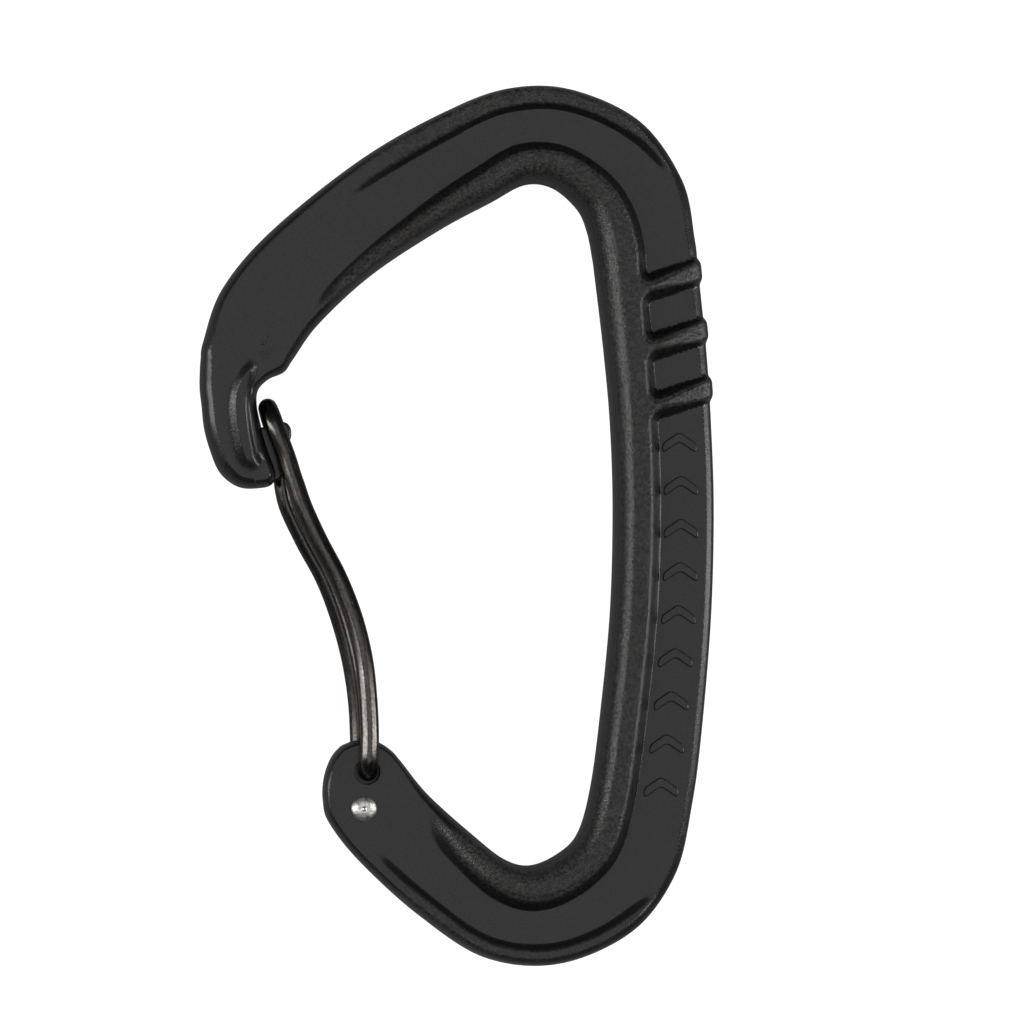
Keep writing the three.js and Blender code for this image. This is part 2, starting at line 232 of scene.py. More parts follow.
# ---- the forging ----
ROWS = np.array(STATIONS)
LOOP = np.vstack([ROWS[:, :2], ROWS[1:-1][::-1, 2:]])


def rib_offset(x, y, ends):
    """Distance across a cross rib's centre line, and how far along it, from 0 to 1."""
    (x0, y0), (x1, y1) = ends
    length = math.hypot(x1 - x0, y1 - y0)
    ux, uy = (x1 - x0) / length, (y1 - y0) / length
    t = ((x - x0) * ux + (y - y0) * uy) / length
    s = (y - y0) * ux - (x - x0) * uy
    return s, t


def outer_edge(station):
    """Outer edge, with the small swell where each cross rib ends."""
    edge = spline(LOOP, station)
    for ends in CROSS_RIBS:
        s, t = rib_offset(edge[:, 0], edge[:, 1], ends)
        swell = CROSS_RIB_OVERHANG * (1.0 - ease(np.abs(s), 0.5, 1.6)) * (t > 0.5)
        edge[:, 0] += swell
    return edge


def inner_edge(station):
    return spline(LOOP, (2 * LAST - station) % (2 * LAST))


def row_stations():
    fine = np.linspace(0, LAST, 8001)
    middle = 0.5 * (outer_edge(fine) + inner_edge(fine))
    outer = outer_edge(fine)
    along_middle = np.linalg.norm(np.diff(middle, axis=0), axis=1)
    along_outer = np.linalg.norm(np.diff(outer, axis=0), axis=1)
    step = 0.5 * (along_middle + along_outer)
    density = step / along(ROW_SPACING, 0.5 * (fine[1:] + fine[:-1]))
    count = np.concatenate([[0], np.cumsum(density)])
    return np.interp(np.linspace(0, count[-1], int(count[-1]) + 1), count, fine)


def section_columns(station, width):
    """Distances from the outer edge at which each section is sampled, close together where it turns."""
    outer_round = along(OUTER_ROUND, station)
    outer_land = np.maximum(along(OUTER_LAND, station), outer_round + 0.1)
    inner_round = along(INNER_ROUND, station)
    inner_land = np.maximum(along(INNER_LAND, station), inner_round + 0.55)
    wall = along(INNER_WALL, station)
    used = outer_land + OUTER_WALL + 0.4 + inner_land + wall + 0.4
    shrink = np.minimum(1.0, 0.9 * width / used)
    turn = lambda n: 1.0 - np.cos(np.linspace(0, math.pi / 2, n + 1))
    rise_foot = shrink * (outer_land + OUTER_WALL + 0.4)
    web_end = width - shrink * (inner_land + wall + 0.4)
    fillet_start = width - shrink * (inner_land + wall + 0.28)
    fillet_end = width - shrink * (inner_land + wall - 0.15)
    crest_start = width - shrink * (inner_land + 0.45)
    crest_end = width - shrink * (inner_land - 0.45)
    breaks = [
        (0.0 * width, shrink * outer_round, 9, True),
        (shrink * outer_round, shrink * (outer_land - 0.1), 4, False),
        (shrink * (outer_land - 0.1), rise_foot, 8, False),
        (rise_foot, web_end, 9, False),
        (web_end, fillet_start, 1, False),
        (fillet_start, fillet_end, 5, False),
        (fillet_end, crest_start, 2, False),
        (crest_start, crest_end, 7, False),
        (crest_end, width - shrink * inner_round, 4, False),
    ]
    columns = []
    for low, high, count, rounded in breaks:
        share = turn(count) if rounded else np.linspace(0, 1, count + 1)
        columns += [low + (high - low) * f for f in share[:-1]]
    columns += [width - shrink * inner_round * f for f in turn(15)[::-1]]
    return np.stack(columns, axis=1)


# Relief on the nose, each a path in x and y.
VALLEY = [
    (-22.3, 18.5), (-22.9, 16.9), (-23.35, 14.9), (-23.6, 13.0), (-23.4, 10.5), (-22.8, 7.5), (-22.0, 5.6),
]
RIDGE = [(-22.75, 17.4), (-23.1, 15.7), (-23.2, 14.0), (-22.95, 11.8), (-22.35, 8.6), (-21.6, 6.3)]
CREASE = [(-20.7, 22.6), (-21.6, 20.0), (-22.3, 18.2)]
VALLEY_DEPTH = 0.75
RIDGE_RISE = 0.35
CREASE_DROP = 0.24
WEB_WAVE = 0.006  # height of the webs' slight waviness


def half_thickness(station, from_outer, from_inner, to_edge, x, y):
    wave = np.sin(1.9 * x + 0.7 * y) * np.sin(1.3 * y - 0.4 * x)
    floor = along(FLOOR, station) - WEB_WAVE * (1.0 + wave)
    # nose: a gouge that starts as a point and widens towards the tip, and the cheek's ridge beside it
    gap, t, side = path_distance(x, y, centripetal(np.array(VALLEY), 10))
    depth = VALLEY_DEPTH * ease(t, 0.0, 0.3) * (1.0 - ease(t, 0.75, 1.0))
    spread = np.where(side > 0, 0.45, 0.45 + 0.65 * ease(t, 0.0, 0.4))
    floor = floor - depth * np.exp(-((gap / spread) ** 2))
    gap, t, _ = path_distance(x, y, centripetal(np.array(RIDGE), 10))
    rise = RIDGE_RISE * ease(t, 0.0, 0.3) * (1.0 - ease(t, 0.85, 1.0))
    floor = floor + rise * np.exp(-((gap / 0.4) ** 2))
    # the lobe falls away a little to the right of a crease
    gap, t, side = path_distance(x, y, centripetal(np.array(CREASE), 10))
    fade = (1.0 - ease(gap, 0.2, 2.6)) * np.sin(math.pi * np.clip(t, 0, 1)) * (station < 12)
    floor = floor - CREASE_DROP * fade * ease(side * gap, 0.0, 0.35)

    outer_crest = floor + along(OUTER_RISE, station)
    outer_land = along(OUTER_LAND, station)
    slope = along(OUTER_RISE, station) / OUTER_WALL + 0.2
    outer = smooth_min(outer_crest, outer_crest - slope * (from_outer - outer_land), CREST_BLEND)
    height = smooth_max(floor, outer, WALL_BLEND)

    crest = np.maximum(along(INNER_CREST, station), floor)
    inner_land = along(INNER_LAND, station)
    wall = along(INNER_WALL, station)
    slope = (crest - along(FLOOR, station)) / wall + 0.2
    pocket = from_inner - inner_land - wall  # distance in from the edge of the web's floor
    for ends in CROSS_RIBS:
        s, t = rib_offset(x, y, ends)
        beside = np.abs(s) - CROSS_RIB_HALF_WIDTH - CROSS_RIB_WALL
        near = (t > -0.6) & (beside < 2.0)
        pocket = np.where(near, rounded_min(pocket, beside, POCKET_CORNER), pocket)
    inner = smooth_min(crest, crest - slope * (pocket + wall), ROPE_RIB_BLEND)
    # the cross ribs' crests run down from the rope rib to the outer edge
    among_ribs = (station > 19.2) & (station < 22.6)
    out_along_rib = np.clip((from_inner - inner_land + 0.3) / 6.8, 0.0, 1.0) * among_ribs
    inner = smooth_min(inner, crest + 0.5 - (crest + 0.5 - floor - CROSS_RIB_LIFT) * out_along_rib, 0.5)
    height = smooth_max(height, inner, WALL_BLEND)

    nearer_outer = from_outer < from_inner
    round_radius = np.where(nearer_outer, along(OUTER_ROUND, station), along(INNER_ROUND, station))
    inset = 1.0 - np.clip(to_edge / round_radius, 0.0, 1.0)
    height = np.minimum(height, CROWN)
    drop = np.where(nearer_outer, np.minimum(along(OUTER_DROP, station), height), height)
    return height - drop * (1.0 - np.sqrt(1.0 - inset * inset))


def distance_to_outline(x, y):
    t = np.linspace(0, LAST, 1500)
    line = np.vstack([outer_edge(t), inner_edge(t[::-1])[1:]])
    a, b = line[:-1], line[1:]
    d = b - a
    length2 = np.maximum((d * d).sum(1), 1e-12)
    flat_x, flat_y = x.ravel(), y.ravel()
    out = np.empty(flat_x.shape)
    for i in range(0, len(flat_x), 2000):
        px = flat_x[i : i + 2000, None] - a[None, :, 0]
        py = flat_y[i : i + 2000, None] - a[None, :, 1]
        t = np.clip((px * d[:, 0] + py * d[:, 1]) / length2, 0, 1)
        out[i : i + 2000] = np.sqrt(((px - t * d[:, 0]) ** 2 + (py - t * d[:, 1]) ** 2).min(1))
    return out.reshape(x.shape)


def mesh_object(name, vertices, faces):
    """A smooth-shaded mesh in millimetres about the mid-plane; to_metres() puts it in the scene's units."""
    mesh = bpy.data.meshes.new(name)
    mesh.from_pydata([tuple(v) for v in vertices], [], faces)
    mesh.update()
    made = bpy.data.objects.new(name, mesh)
    bpy.context.scene.collection.objects.link(made)
    split_large_faces(made)
    made.data.polygons.foreach_set("use_smooth", [True] * len(made.data.polygons))
    return made


def split_large_faces(made):
    work = bmesh.new()
    work.from_mesh(made.data)
    work.normal_update()
    large = [face for face in work.faces if len(face.verts) > 4]
    if large:
        bmesh.ops.triangulate(work, faces=large, ngon_method="EAR_CLIP")
        work.to_mesh(made.data)
    work.free()


def to_metres(made):
    split_large_faces(made)
    made.data.transform(Matrix.Translation((0.0, 0.0, MID_PLANE)) @ Matrix.Scale(MM, 4))
    made.data.update()


def forging():
    station = row_stations()
    inside = station[1:-1]
    outer = outer_edge(inside)
    inner = inner_edge(inside)
    width = np.linalg.norm(inner - outer, axis=1)
    columns = section_columns(inside, width)
    share = columns / width[:, None]
    x = outer[:, :1] + (inner - outer)[:, :1] * share
    y = outer[:, 1:] + (inner - outer)[:, 1:] * share
    s = np.repeat(inside[:, None], columns.shape[1], axis=1)
    height = half_thickness(s, columns, width[:, None] - columns, distance_to_outline(x, y), x, y)
    height[:, 0] = 0.0
    height[:, -1] = 0.0
    top = np.stack([x, y, height], axis=2)
    bottom = np.stack([x, y, -height], axis=2)[:, 1:-1][:, ::-1]
    ring = np.concatenate([top, bottom], axis=1)
    rows, around = ring.shape[:2]
    tips = np.array([[*STATIONS[0][:2], 0.0], [*STATIONS[-1][:2], 0.0]])
    vertices = np.vstack([ring.reshape(-1, 3), tips])
    faces = []
    for r in range(rows - 1):
        for c in range(around):
            d = (c + 1) % around
            faces.append((r * around + c, r * around + d, (r + 1) * around + d, (r + 1) * around + c))
    for c in range(around):
        d = (c + 1) % around
        faces.append((rows * around, d, c))
        faces.append((rows * around + 1, (rows - 1) * around + c, (rows - 1) * around + d))
    return mesh_object("forged_frame", vertices, faces)


# ---- what is joined to the forging or cut from it ----
CATCH_HALF_THICKNESS = 1.25
CATCH_EDGE = 0.3
PIVOT = (-10.24, -27.13)
RIVET = (-10.4, -31.2)
LEG_STAGGER = 0.3
PIN_HOLE_RADIUS = 1.42
PIN_HOLE_SHIFT = -0.1
PIN_HOLE_FLOOR = 0.55
PIN_HOLE_CHAMFER = 0.04
RIVET_BORE_RADIUS = 1.25


def bezier(points, steps):
    t = np.linspace(0, 1, steps + 1)[1:, None]
    points = [np.array(p, dtype=float) for p in points]
    while len(points) > 1:
        points = [a + (b - a) * t for a, b in zip(points, points[1:])]
    return [tuple(p) for p in points[0]]


def catch_outline():
    outline = [(-24.5, 9.9), (-19.5, 11.25)]
    outline += bezier([(-19.5, 11.25), (-18.75, 11.45), (-18.2, 10.7), (-18.35, 9.7)], 12)
    outline += bezier([(-18.35, 9.7), (-18.8, 8.0), (-18.95, 6.2)], 10)
    outline += bezier([(-18.95, 6.2), (-19.0, 5.0), (-20.2, 4.7)], 8)
    outline += [(-24.5, 6.0)]
    return outline


def rounded_plate(name, outline, low, high, edge):
    """A plate with rounded rims, from its outline in x and y, which may run either way round."""
    points = np.array(outline)
    if np.sum(points[:, 0] * np.roll(points[:, 1], -1) - points[:, 1] * np.roll(points[:, 0], -1)) < 0:
        points = points[::-1]
    ahead = np.roll(points, -1, axis=0) - points
    ahead /= np.linalg.norm(ahead, axis=1)[:, None]
    behind = np.roll(ahead, 1, axis=0)
    inward = np.stack([-(ahead + behind)[:, 1], (ahead + behind)[:, 0]], axis=1)
    inward /= np.linalg.norm(inward, axis=1)[:, None]
    rings = []
    turns = np.linspace(0, math.pi / 2, 5)
    for a in turns:
        rings.append((edge * (1 - math.sin(a)), low + edge * (1 - math.cos(a))))
    for a in turns[::-1]:
        rings.append((edge * (1 - math.sin(a)), high - edge * (1 - math.cos(a))))
    count = len(points)
    vertices = []
    for inset, z in rings:
        ring = points + inward * inset
        vertices += [(px, py, z) for px, py in ring]
    faces = [tuple(range(count))[::-1]]
    for r in range(len(rings) - 1):
        for c in range(count):
            d = (c + 1) % count
            faces.append((r * count + c, r * count + d, (r + 1) * count + d, (r + 1) * count + c))
    faces.append(tuple(range((len(rings) - 1) * count, len(rings) * count)))
    return mesh_object(name, vertices, faces)


def lathe(name, profile, centre, sides=64):
    """A closed solid turned about Z from (radius, height) pairs that start and end on the axis."""
    vertices = []
    rings = []
    for radius, z in profile:
        if radius < 1e-9:
            rings.append([len(vertices)])
            vertices.append((centre[0], centre[1], z))
            continue
        rings.append(list(range(len(vertices), len(vertices) + sides)))
        for i in range(sides):
            angle = 2 * math.pi * i / sides
            vertices.append((centre[0] + radius * math.cos(angle), centre[1] + radius * math.sin(angle), z))
    faces = []
    for low, high in zip(rings, rings[1:]):
        for i in range(sides):
            j = (i + 1) % sides
            corners = [low[i % len(low)], low[j % len(low)], high[j % len(high)], high[i % len(high)]]
            unique = []
            for corner in corners:
                if corner not in unique:
                    unique.append(corner)
            if len(unique) > 2:
                faces.append(tuple(unique))
    return mesh_object(name, vertices, faces)


def apply_boolean(target, tool, operation):
    modifier = target.modifiers.new("cut", "BOOLEAN")
    modifier.operation = operation
    modifier.solver = "MANIFOLD"
    modifier.object = tool
    bpy.context.view_layer.objects.active = target
    bpy.ops.object.modifier_apply(modifier=modifier.name)
    bpy.data.objects.remove(tool, do_unlink=True)


def hole_tool(centre, radius, floor, mouth, chamfer):
    """Cutter for a round hole from floor to mouth, with a small chamfer at the mouth."""
    sign = 1 if mouth > floor else -1
    profile = [
        (0.0, floor),
        (radius, floor),
        (radius, mouth - sign * chamfer),
        (radius + 2 * chamfer, mouth + sign * chamfer),
        (0.0, mouth + sign * chamfer),
    ]
    return lathe("hole_tool", profile if sign > 0 else profile[::-1], centre)


# ---- chevrons in low relief down the spine panel ----
CHEVRON_COUNT = 9
CHEVRON_TOP_Y = 9.0
CHEVRON_PITCH = 4.75
CHEVRON_ACROSS = 0.66
CHEVRON_HALF_SPAN = 1.9
CHEVRON_DEPTH = 1.3
CHEVRON_BAR = 1.1
CHEVRON_HEIGHT = 2.6
CHEVRON_ROOT = 1.0  # buried this far from the mid-plane
CHEVRON_CORNER = 0.5
CHEVRON_EDGE = 0.12
PANEL_STATIONS = (20.0, 28.0)
SHARP_ANGLE = math.radians(38)


def rounded_corners(corners, radius, steps=5):
    """The outline with each corner turned into an arc-like curve."""
    points = []
    count = len(corners)
    for i, corner in enumerate(corners):
        here = np.array(corner, dtype=float)
        before = np.array(corners[i - 1]) - here
        after = np.array(corners[(i + 1) % count]) - here
        start = here + before / np.linalg.norm(before) * radius
        end = here + after / np.linalg.norm(after) * radius
        points.append(tuple(start))
        points += bezier([start, here, end], steps)
    return points


def chevron(index, side):
    y = CHEVRON_TOP_Y - CHEVRON_PITCH * index
    spine = np.linspace(*PANEL_STATIONS, 400)
    panel_line = inner_edge(spine) + (outer_edge(spine) - inner_edge(spine)) * CHEVRON_ACROSS
    x = np.interp(-y, -panel_line[:, 1], panel_line[:, 0])
    corners = [
        (x - CHEVRON_HALF_SPAN, y - CHEVRON_BAR),
        (x, y + CHEVRON_DEPTH - CHEVRON_BAR),
        (x + CHEVRON_HALF_SPAN, y - CHEVRON_BAR),
        (x + CHEVRON_HALF_SPAN, y),
        (x, y + CHEVRON_DEPTH),
        (x - CHEVRON_HALF_SPAN, y),
    ]
    low, high = sorted((side * CHEVRON_ROOT, side * CHEVRON_HEIGHT))
    return rounded_plate("chevron", rounded_corners(corners, CHEVRON_CORNER), low, high, CHEVRON_EDGE)


def build_frame():
    made = forging()
    catch = rounded_plate("catch", catch_outline(), -CATCH_HALF_THICKNESS, CATCH_HALF_THICKNESS, CATCH_EDGE)
    apply_boolean(made, catch, "UNION")
    for side in (1, -1):
        for i in range(CHEVRON_COUNT):
            apply_boolean(made, chevron(i, side), "UNION")
        centre = (PIVOT[0] + side * LEG_STAGGER + PIN_HOLE_SHIFT, PIVOT[1])
        floor, mouth = side * PIN_HOLE_FLOOR, side * HUB_FACE
        hole = hole_tool(centre, PIN_HOLE_RADIUS, floor, mouth, PIN_HOLE_CHAMFER)
        apply_boolean(made, hole, "DIFFERENCE")
    bore = [(0.0, -CROWN), (RIVET_BORE_RADIUS, -CROWN), (RIVET_BORE_RADIUS, CROWN), (0.0, CROWN)]
    apply_boolean(made, lathe("bore", bore, RIVET), "DIFFERENCE")
    to_metres(made)
    made.data.set_sharp_from_angle(angle=SHARP_ANGLE)
    return made


# ---- wire gate ----
WIRE_RADIUS = 1.03
LEG_HEIGHT_HUB = 3.8
LEG_HEIGHT_NOSE = 2.45
PIN_BEND_RADIUS = 1.5
PIN_END = 0.9
# Near leg's x, far leg's x and y, from the hub to the start of the U-bend.
LEG_LINES = [
    (-9.87, -10.55, -23.5),
    (-10.03, -10.8, -19.3),
    (-10.5, -11.5, -14.9),
    (-11.54, -12.68, -10.5),
    (-13.25, -14.38, -6.0),
    (-15.53, -16.76, -1.6),
    (-17.2, -18.5, 2.1),
    (-17.85, -18.97, 4.0),
    (-18.33, -19.13, 5.4),
    (-18.89, -19.45, 7.2),
]
BEND_START = (-20.13, 10.55)
BEND_HEADING = (-0.316, 0.949)
NARROW_FROM = -22.0
NARROW_TO = 8.0


def gate_points():
    def leg(side):
        x = PIVOT[0] + side * LEG_STAGGER
        row = [(x, PIVOT[1], side * PIN_END)]
        for angle in np.linspace(0, math.pi / 2, 5):
            rise = LEG_HEIGHT_HUB - PIN_BEND_RADIUS * (1 - math.sin(angle))
            row.append((x, PIVOT[1] + PIN_BEND_RADIUS * (1 - math.cos(angle)), side * rise))
        for near_x, far_x, y in LEG_LINES:
            closing = min(max((y - NARROW_FROM) / (NARROW_TO - NARROW_FROM), 0.0), 1.0)
            height = LEG_HEIGHT_HUB + (LEG_HEIGHT_NOSE - LEG_HEIGHT_HUB) * closing
            row.append((near_x if side > 0 else far_x, y, side * height))
        return row

    bend = []
    for angle in np.linspace(0, math.pi, 7):
        reach = LEG_HEIGHT_NOSE * math.sin(angle)
        x, y = (BEND_START[k] + BEND_HEADING[k] * reach for k in (0, 1))
        bend.append((x, y, LEG_HEIGHT_NOSE * math.cos(angle)))
    return np.array(leg(1) + bend + leg(-1)[::-1])


def even_path(points, spacing):
    lengths = np.concatenate([[0], np.cumsum(np.linalg.norm(np.diff(points, axis=0), axis=1))])
    at = np.linspace(0, lengths[-1], int(lengths[-1] / spacing) + 1)
    return np.stack([np.interp(at, lengths, points[:, k]) for k in range(3)], axis=1), at


def wire_gate(sides=28, spacing=0.22, chamfer=0.18):
    path, at = even_path(centripetal(gate_points(), 24), spacing)
    tangent = np.gradient(path, axis=0)
    tangent /= np.linalg.norm(tangent, axis=1)[:, None]
    normal = np.cross(tangent[0], (1.0, 0.0, 0.0))
    normals = []
    for t in tangent:
        normal = normal - t * (normal @ t)
        normal /= np.linalg.norm(normal)
        normals.append(normal.copy())
    vertices = [path[0]]
    angles = 2 * math.pi * np.arange(sides) / sides
    first = np.array([path[0], path[0] + tangent[0] * chamfer])
    last = np.array([path[-1] - tangent[-1] * chamfer, path[-1]])
    keep = (at > chamfer * 1.5) & (at < at[-1] - chamfer * 1.5)
    centres = np.vstack([first, path[keep], last])
    tangents = np.vstack([tangent[:1], tangent[:1], tangent[keep], tangent[-1:], tangent[-1:]])
    frames = np.vstack([normals[:1], normals[:1], np.array(normals)[keep], normals[-1:], normals[-1:]])
    radii = np.full(len(centres), WIRE_RADIUS)
    radii[[0, -1]] = WIRE_RADIUS - chamfer
    for centre, t, n, radius in zip(centres, tangents, frames, radii):
        b = np.cross(t, n)
        vertices += [centre + radius * (n * math.cos(a) + b * math.sin(a)) for a in angles]
    vertices.append(path[-1])
    rings = len(centres)
    faces = [(0, 1 + (i + 1) % sides, 1 + i) for i in range(sides)]
    for r in range(rings - 1):
        base = 1 + r * sides
        for i in range(sides):
            j = (i + 1) % sides
            faces.append((base + i, base + j, base + sides + j, base + sides + i))
    base = 1 + (rings - 1) * sides
    faces += [(base + i, base + (i + 1) % sides, len(vertices) - 1) for i in range(sides)]
    made = mesh_object("bent_wire_gate", vertices, faces)
    run = np.concatenate([[0], np.cumsum(np.linalg.norm(np.diff(centres, axis=0), axis=1))]) * MM
    uv = made.data.uv_layers.new(name="wire_run")
    around = 2 * math.pi * WIRE_RADIUS * MM
    for polygon in made.data.polygons:
        columns = [(v - 1) % sides for v in polygon.vertices]
        wraps = max(columns) - min(columns) > sides / 2
        for loop_index, v in zip(polygon.loop_indices, polygon.vertices):
            ring = min(max((v - 1) // sides, 0), rings - 1)
            column = (v - 1) % sides
            column += sides if wraps and column == 0 else 0
            uv.data[loop_index].uv = (run[ring], around * column / sides)
    to_metres(made)
    return made


# ---- rivet ----
RIVET_HEAD_RADIUS = 1.4
RIVET_SHANK_RADIUS = 1.2
RIVET_HEAD_HEIGHT = 0.72
DIMPLE_REACH = 0.34  # the dome gives way to the dimple inside this radius


def rivet():
    top = HUB_FACE + RIVET_HEAD_HEIGHT
    spring = HUB_FACE + 0.1
    dome = []
    for angle in np.linspace(0, math.pi / 2, 12)[1:]:
        radius = RIVET_HEAD_RADIUS * math.cos(angle)
        dome.append((radius, spring + (top - HUB_FACE - 0.1) * math.sin(angle)))
    dome = [p for p in dome if p[0] > DIMPLE_REACH]
    half = [
        (RIVET_SHANK_RADIUS, HUB_FACE - 0.02),
        (RIVET_HEAD_RADIUS - 0.03, HUB_FACE - 0.02),
        (RIVET_HEAD_RADIUS, HUB_FACE + 0.04),
    ]
    half += dome + [(0.26, top - 0.02), (0.14, top - 0.12), (0.0, top - 0.16)]
    profile = [(r, -z) for r, z in half[::-1]] + half
    made = lathe("domed_rivet", profile, RIVET, sides=72)
    to_metres(made)
    return made


# ---- materials ----
def new_material(name):
    material = bpy.data.materials.new(name)
    material.use_nodes = True
    nodes = material.node_tree.nodes
    shader = next(n for n in nodes if n.type == "BSDF_PRINCIPLED")
    return material, nodes, material.node_tree.links, shader


def noise(nodes, links, vector, scale, detail=4.0, roughness=0.55):
    node = nodes.new("ShaderNodeTexNoise")
    node.inputs["Scale"].default_value = scale
    node.inputs["Detail"].default_value = detail
    node.inputs["Roughness"].default_value = roughness
    links.new(vector, node.inputs["Vector"])
    return node.outputs["Fac"]


def remap(nodes, links, value, low, high, to_low, to_high):
    node = nodes.new("ShaderNodeMapRange")
    node.inputs["From Min"].default_value = low
    node.inputs["From Max"].default_value = high
    node.inputs["To Min"].default_value = to_low
    node.inputs["To Max"].default_value = to_high
    links.new(value, node.inputs["Value"])
    return node.outputs["Result"]


def maths(nodes, links, operation, *values):
    node = nodes.new("ShaderNodeMath")
    node.operation = operation
    for value, socket in zip(values, node.inputs):
        if isinstance(value, float):
            socket.default_value = value
        else:
            links.new(value, socket)
    return node.outputs["Value"]


def stretched(nodes, links, vector, scales):
    node = nodes.new("ShaderNodeVectorMath")
    node.operation = "MULTIPLY"
    node.inputs[1].default_value = scales
    links.new(vector, node.inputs[0])
    return node.outputs["Vector"]


def blend_values(nodes, links, factor, first, second):
    node = nodes.new("ShaderNodeMix")
    links.new(factor, node.inputs["Factor"])
    links.new(first, node.inputs["A"])
    links.new(second, node.inputs["B"])
    return node.outputs["Result"]


def blend_colours(nodes, links, factor, first, second):
    node = nodes.new("ShaderNodeMix")
    node.data_type = "RGBA"
    links.new(factor, node.inputs["Factor"])
    for colour, socket in ((first, node.inputs["A"]), (second, node.inputs["B"])):
        if isinstance(colour, tuple):
            socket.default_value = (*colour, 1.0)
        else:
            links.new(colour, socket)
    return node.outputs["Result"]


def add_bumps(nodes, links, shader, layers):
    """Chains bump nodes: (height, strength, distance in metres)."""
    normal = None
    for height, strength, distance in layers:
        node = nodes.new("ShaderNodeBump")
        node.inputs["Strength"].default_value = strength
        node.inputs["Distance"].default_value = distance
        links.new(height, node.inputs["Height"])
        if normal is not None:
            links.new(normal, node.inputs["Normal"])
        normal = node.outputs["Normal"]
    links.new(normal, shader.inputs["Normal"])


def anodised_forging():
    """Black anodising: speckled grain and drawing marks on the webs, orange peel and
    scuffs on the raised areas, and a painted highlight along the raised crests."""
    material, nodes, links, shader = new_material("black_anodised_forging")
    place = nodes.new("ShaderNodeTexCoord").outputs["Object"]
    split = nodes.new("ShaderNodeSeparateXYZ")
    links.new(place, split.inputs["Vector"])
    above = maths(nodes, links, "SUBTRACT", split.outputs["Z"], MID_PLANE)
    raised = remap(nodes, links, maths(nodes, links, "ABSOLUTE", above), 2.95 * MM, 3.35 * MM, 0, 1)
    facing = nodes.new("ShaderNodeSeparateXYZ")
    links.new(nodes["Texture Coordinate"].outputs["Normal"], facing.inputs["Vector"])
    level = maths(nodes, links, "ABSOLUTE", facing.outputs["Z"])
    rim = remap(nodes, links, level, 0.8, 0.97, 1, 0)
    off_flat = remap(nodes, links, level, 0.9, 0.98, 1, 0)
    off_side = remap(nodes, links, level, 0.5, 0.75, 0, 1)
    turning = maths(nodes, links, "MULTIPLY", off_flat, off_side)
    grain = noise(nodes, links, place, 4200.0, detail=3.0)
    peel = noise(nodes, links, place, 3000.0, detail=3.0, roughness=0.6)
    patches = noise(nodes, links, place, 160.0, detail=5.0)
    scuffs = noise(nodes, links, place, 800.0, detail=6.0, roughness=0.75)
    drawn = noise(nodes, links, stretched(nodes, links, place, (3800.0, 260.0, 260.0)), 1.0, detail=2.0)

    speckle = remap(nodes, links, grain, 0.35, 0.65, 0, 1)
    web = blend_colours(nodes, links, speckle, (0.0085, 0.0085, 0.0093), (0.018, 0.018, 0.019))
    orange_peel = remap(nodes, links, peel, 0.42, 0.62, 0, 1)
    crown = blend_colours(nodes, links, orange_peel, (0.004, 0.004, 0.0045), (0.035, 0.033, 0.030))
    colour = blend_colours(nodes, links, raised, web, crown)
    scuffed = remap(nodes, links, scuffs, 0.66, 0.72, 0, 0.5)
    worn = maths(nodes, links, "MULTIPLY", scuffed, maths(nodes, links, "ADD", raised, 0.15))
    colour = blend_colours(nodes, links, worn, colour, (0.13, 0.125, 0.118))
    # painted highlight: a paler colour lightens the crests of the raised areas where the surface turns,
    # broken up by the peel noise
    crests = maths(nodes, links, "MULTIPLY", raised, turning)
    painted_crest_highlight = maths(nodes, links, "MULTIPLY", crests, remap(nodes, links, peel, 0.35, 0.6, 0.1, 0.5))
    colour = blend_colours(nodes, links, painted_crest_highlight, colour, (0.115, 0.11, 0.103))
    links.new(colour, shader.inputs["Base Color"])

    web_rough = remap(nodes, links, patches, 0.3, 0.7, 0.21, 0.29)
    crown_rough = remap(nodes, links, peel, 0.35, 0.65, 0.38, 0.22)
    rough = blend_values(nodes, links, raised, web_rough, crown_rough)
    rim_rough = maths(nodes, links, "MAXIMUM", rough, remap(nodes, links, grain, 0.3, 0.7, 0.27, 0.36))
    links.new(blend_values(nodes, links, rim, rough, rim_rough), shader.inputs["Roughness"])
    peel_height = maths(nodes, links, "MULTIPLY", peel, maths(nodes, links, "ADD", raised, 0.12))
    bumps = [(peel_height, 0.85, 0.00009), (drawn, 0.15, 0.00003), (grain, 0.5, 0.00002)]
    add_bumps(nodes, links, shader, bumps)
    return material


def drawn_wire():
    """Dark steel wire with lengthwise drawing marks."""
    material, nodes, links, shader = new_material("dark_drawn_wire")
    run = nodes.new("ShaderNodeUVMap")
    run.uv_map = "wire_run"
    streaks = noise(nodes, links, stretched(nodes, links, run.outputs["UV"], (260.0, 5200.0, 1.0)), 1.0)
    place = nodes.new("ShaderNodeTexCoord").outputs["Object"]
    patches = noise(nodes, links, place, 2600.0, detail=4.0, roughness=0.65)
    mottle = remap(nodes, links, patches, 0.35, 0.65, 0, 1)
    colour = blend_colours(nodes, links, mottle, (0.06, 0.055, 0.051), (0.115, 0.106, 0.098))
    links.new(colour, shader.inputs["Base Color"])
    shader.inputs["Metallic"].default_value = 1.0
    links.new(remap(nodes, links, streaks, 0.3, 0.7, 0.17, 0.3), shader.inputs["Roughness"])
    add_bumps(nodes, links, shader, [(patches, 0.25, 0.00002), (streaks, 0.3, 0.00002)])
    return material


